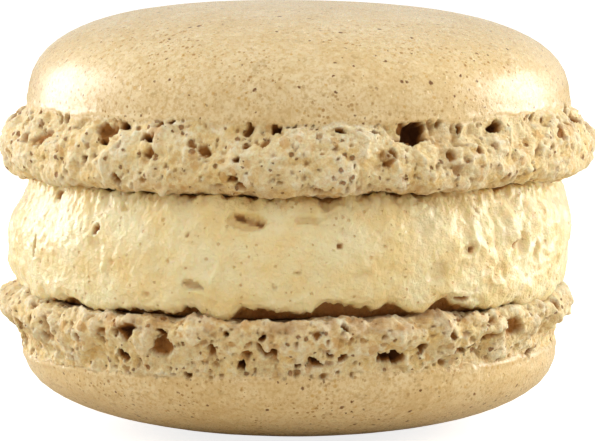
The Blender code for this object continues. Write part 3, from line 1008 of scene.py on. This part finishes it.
# %% Shell finish
def shell_finish():
    """Baked meringue: skin and crumb in one material."""
    made, tree, shader, place = empty_finish("baked_meringue")
    skin = stored(tree, "skin")
    grain = ramp(tree, noise(tree, place, 0.0003, 3.0, 0.7), 0.35, 0.65)
    dust = ramp(tree, noise(tree, place, 0.0008, 3.0, 0.7), 0.50, 0.68)
    pinhole = specks(tree, place, 0.00062, 0.34, 0.5)
    base = mix_colour(tree, skin, crumb_paint(tree, place, grain, dust, pinhole),
                      skin_paint(tree, place, grain, dust))
    tree.links.new(base, shader.inputs["Base Color"])
    shader.inputs["Subsurface Weight"].default_value = 0.25
    shader.inputs["Subsurface Radius"].default_value = (1.0, 0.7, 0.4)
    shader.inputs["Subsurface Scale"].default_value = 0.0005

    # The skin is smoother and shinier than the crumb, and has a thin soft gloss.
    rough = math_node(tree, "MULTIPLY_ADD", skin, -0.34, 0.60)
    rough = math_node(tree, "MULTIPLY_ADD", grain, 0.08, rough)
    tree.links.new(rough, shader.inputs["Roughness"])
    shine = math_node(tree, "MULTIPLY_ADD", skin, 0.14, 0.30)
    tree.links.new(shine, shader.inputs["Specular IOR Level"])
    tree.links.new(math_node(tree, "MULTIPLY", skin, 0.35), shader.inputs["Coat Weight"])
    shader.inputs["Coat Roughness"].default_value = 0.22

    sand = noise(tree, place, 0.0003, 4.0, 0.75)
    coarse = math_node(tree, "MULTIPLY_ADD", skin, -0.86, 1.0)
    relief = math_node(tree, "MULTIPLY_ADD", pinhole, -0.8, sand)
    relief = math_node(tree, "MULTIPLY", relief, coarse)
    bump = node(tree, "ShaderNodeBump", Height=relief, Distance=0.0003, Strength=0.9)
    tree.links.new(bump.outputs[0], shader.inputs["Normal"])
    return made


shell_look = shell_finish()
for piece in (upper, lower):
    piece.data.materials.append(shell_look)
print(shell_look.name, "has", len(shell_look.node_tree.nodes), "nodes")

# %% [markdown]
# ### Buttercream
# Butter and sugar whipped with air are pale yellow and let light in, so the finish has more
# scattering under the surface than the shells have. A thin, clear coat stands for the film of
# fat that gives the cream its small bright glints, and pinpricks are the last of the air.

# %% Cream finish
def cream_finish():
    """Buttercream: pale yellow, satin, mottled and pricked, with painted shade in its pricks, holes, dents
    and slots.
    """
    made, tree, shader, place = empty_finish("whipped_buttercream")
    mottle = ramp(tree, noise(tree, place, 0.003, 4.0, 0.6), 0.35, 0.7)
    base = mix_colour(tree, mottle, colour(252, 236, 190), colour(247, 220, 156))
    fleck = ramp(tree, noise(tree, place, 0.0007, 4.0, 0.7), 0.52, 0.72)
    prick = specks(tree, place, 0.0005, 0.24, 0.6)
    # Painted shade: the air pinpricks are darkened orange-brown.
    base = layered(tree, base, [(fleck, 0.30, (236, 200, 126)), (prick, 0.6, (220, 174, 102))])
    # Painted shade in the air holes, the dents and the slots beside the shells.
    base = placed_group(tree, HOLLOW_SHADE, Color=base, Warm=colour(200, 148, 82),
                        Deep=colour(156, 98, 46), Strength=1.0)
    tree.links.new(base, shader.inputs["Base Color"])
    shader.inputs["Coat Weight"].default_value = 0.5
    shader.inputs["Coat Roughness"].default_value = 0.16
    shader.inputs["Subsurface Weight"].default_value = 0.4
    shader.inputs["Subsurface Radius"].default_value = (1.0, 0.6, 0.25)
    shader.inputs["Subsurface Scale"].default_value = 0.0010
    rough = math_node(tree, "MULTIPLY_ADD", mottle, 0.14, 0.30)
    tree.links.new(rough, shader.inputs["Roughness"])
    peel = noise(tree, place, 0.00035, 4.0, 0.65)
    relief = math_node(tree, "MULTIPLY_ADD", prick, -0.7, peel)
    bump = node(tree, "ShaderNodeBump", Height=relief, Distance=0.00028, Strength=0.8)
    tree.links.new(bump.outputs[0], shader.inputs["Normal"])
    return made


cream_look = cream_finish()
filling.data.materials.append(cream_look)
print(cream_look.name, "has", len(cream_look.node_tree.nodes), "nodes")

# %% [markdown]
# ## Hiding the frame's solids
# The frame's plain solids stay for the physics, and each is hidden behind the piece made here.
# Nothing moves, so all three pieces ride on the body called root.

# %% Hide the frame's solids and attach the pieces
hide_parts("top_shell")
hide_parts("bottom_shell")
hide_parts("filling")
for piece in (upper, lower, filling):
    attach(piece, "root")
    print(piece.name, "rides on root")

# %% [markdown]
# ## Studio
# Pale food on white needs light from the sides to show its relief. A pale floor and an even room
# give the base, two large boxes a little behind the macaron make the soft highlights on its
# shoulders, and a ceiling and two cards fill in. The ceiling and cards aren't mirrored in
# glossy surfaces, because their reflections would lay a grey veil over the skin.

# %% Floor
FLOOR_WHITE, FLOOR_GLOW = 0.6, 0.80  # as the camera sees the floor
BOUNCE = (0.66, 0.59, 0.47, 1)  # colour of the light that the floor sends back up
FLOOR_HALF = 3.0


def pale_floor():
    """A flat square far larger than the view, just under the macaron."""
    mesh = bpy.data.meshes.new("floor")
    corners = [(x * FLOOR_HALF, y * FLOOR_HALF, 0) for x, y in ((-1, -1), (1, -1), (1, 1), (-1, 1))]
    mesh.from_pydata(corners, [], [(0, 1, 2, 3)])
    made = bpy.data.objects.new("floor", mesh)
    bpy.context.scene.collection.objects.link(made)
    look = bpy.data.materials.new("pale_floor")
    look.use_nodes = True
    tree = look.node_tree
    shader = tree.nodes["Principled BSDF"]
    seen = tree.nodes.new("ShaderNodeLightPath").outputs["Is Camera Ray"]
    tint = mix_colour(tree, seen, BOUNCE, (FLOOR_WHITE, FLOOR_WHITE, FLOOR_WHITE, 1))
    tree.links.new(tint, shader.inputs["Base Color"])
    tree.links.new(math_node(tree, "MULTIPLY", seen, FLOOR_GLOW), shader.inputs["Emission Strength"])
    shader.inputs["Emission Color"].default_value = (1, 1, 1, 1)
    shader.inputs["Roughness"].default_value = 1.0
    shader.inputs["Specular IOR Level"].default_value = 0.0
    made.data.materials.append(look)
    return made


pale_floor()
print("the floor is", 2 * FLOOR_HALF, "m wide")

# %% Lamps
MIDDLE = (0, 0, 0.016)  # middle of the macaron, in metres


def around(bearing, elevation, distance):
    """A place at this bearing and elevation, in degrees, from the middle of the macaron."""
    turn, rise = math.radians(bearing), math.radians(elevation)
    flat = distance * math.cos(rise)
    return (flat * math.sin(turn), -flat * math.cos(turn), MIDDLE[2] + distance * math.sin(rise))


def soft_lamp(name, place, size, power, mirrored):
    """A square area lamp that faces the macaron."""
    data = bpy.data.lights.new(name, "AREA")
    data.shape, data.size, data.energy = "SQUARE", size, power
    made = bpy.data.objects.new(name, data)
    made.location = place
    made.rotation_euler = (Vector(MIDDLE) - Vector(place)).to_track_quat("-Z", "Y").to_euler()
    made.visible_glossy = mirrored
    bpy.context.scene.collection.objects.link(made)
    print(name, "gives", power, "W")


soft_lamp("left_box", around(-115, 14, 0.36), 0.22, 1.0, True)
soft_lamp("right_box", around(106, 14, 0.36), 0.22, 1.05, True)
soft_lamp("ceiling", around(0, 68, 0.62), 0.90, 3.15, False)
soft_lamp("left_card", around(-80, 8, 0.50), 0.40, 0.62, False)
soft_lamp("right_card", around(82, 8, 0.50), 0.40, 0.65, False)

# %% Room
ROOM_LIGHT, ROOM_SHINE = 0.36, 0.55  # strength as light and in reflections
ROOM_WARMTH = (1.0, 0.96, 0.88, 1)


def bright_room():
    """A world that is white to the camera, dimmer in reflections and warm and dim as light."""
    world = bpy.data.worlds.new("bright_room")
    world.use_nodes = True
    tree = world.node_tree
    sky = tree.nodes["Background"]
    rays = tree.nodes.new("ShaderNodeLightPath").outputs
    air = mix_colour(tree, rays["Is Diffuse Ray"], (1, 1, 1, 1), ROOM_WARMTH)
    tree.links.new(air, sky.inputs["Color"])
    mirrored = math_node(tree, "MAXIMUM", rays["Is Glossy Ray"], rays["Is Transmission Ray"])
    strength = math_node(tree, "MULTIPLY_ADD", mirrored, ROOM_SHINE - ROOM_LIGHT, ROOM_LIGHT)
    strength = math_node(tree, "MAXIMUM", strength, rays["Is Camera Ray"])
    tree.links.new(strength, sky.inputs["Strength"])
    return world


bpy.context.scene.world = bright_room()
print("the room's light is", ROOM_LIGHT)

# %% Camera
VIEW_DISTANCE, VIEW_PITCH, AIM_HEIGHT = 0.300, math.radians(6), 0.0152
VIEW_WIDTH, SENSOR_WIDTH = 0.044536, 36.0  # width of the view at the macaron, in metres


def front_camera():
    """A camera in front, looking slightly down past the macaron's middle."""
    lens = bpy.data.cameras.new("camera")
    lens.sensor_width = SENSOR_WIDTH
    lens.lens = SENSOR_WIDTH * VIEW_DISTANCE / VIEW_WIDTH
    made = bpy.data.objects.new("camera", lens)
    flat, rise = VIEW_DISTANCE * math.cos(VIEW_PITCH), VIEW_DISTANCE * math.sin(VIEW_PITCH)
    made.location = (0, -flat, AIM_HEIGHT + rise)
    made.rotation_euler = (math.pi / 2 - VIEW_PITCH, 0, 0)
    bpy.context.scene.collection.objects.link(made)
    print("the lens is", round(lens.lens, 1), "mm")
    return made


bpy.context.scene.camera = front_camera()
bpy.context.scene.view_settings.view_transform = "Standard"
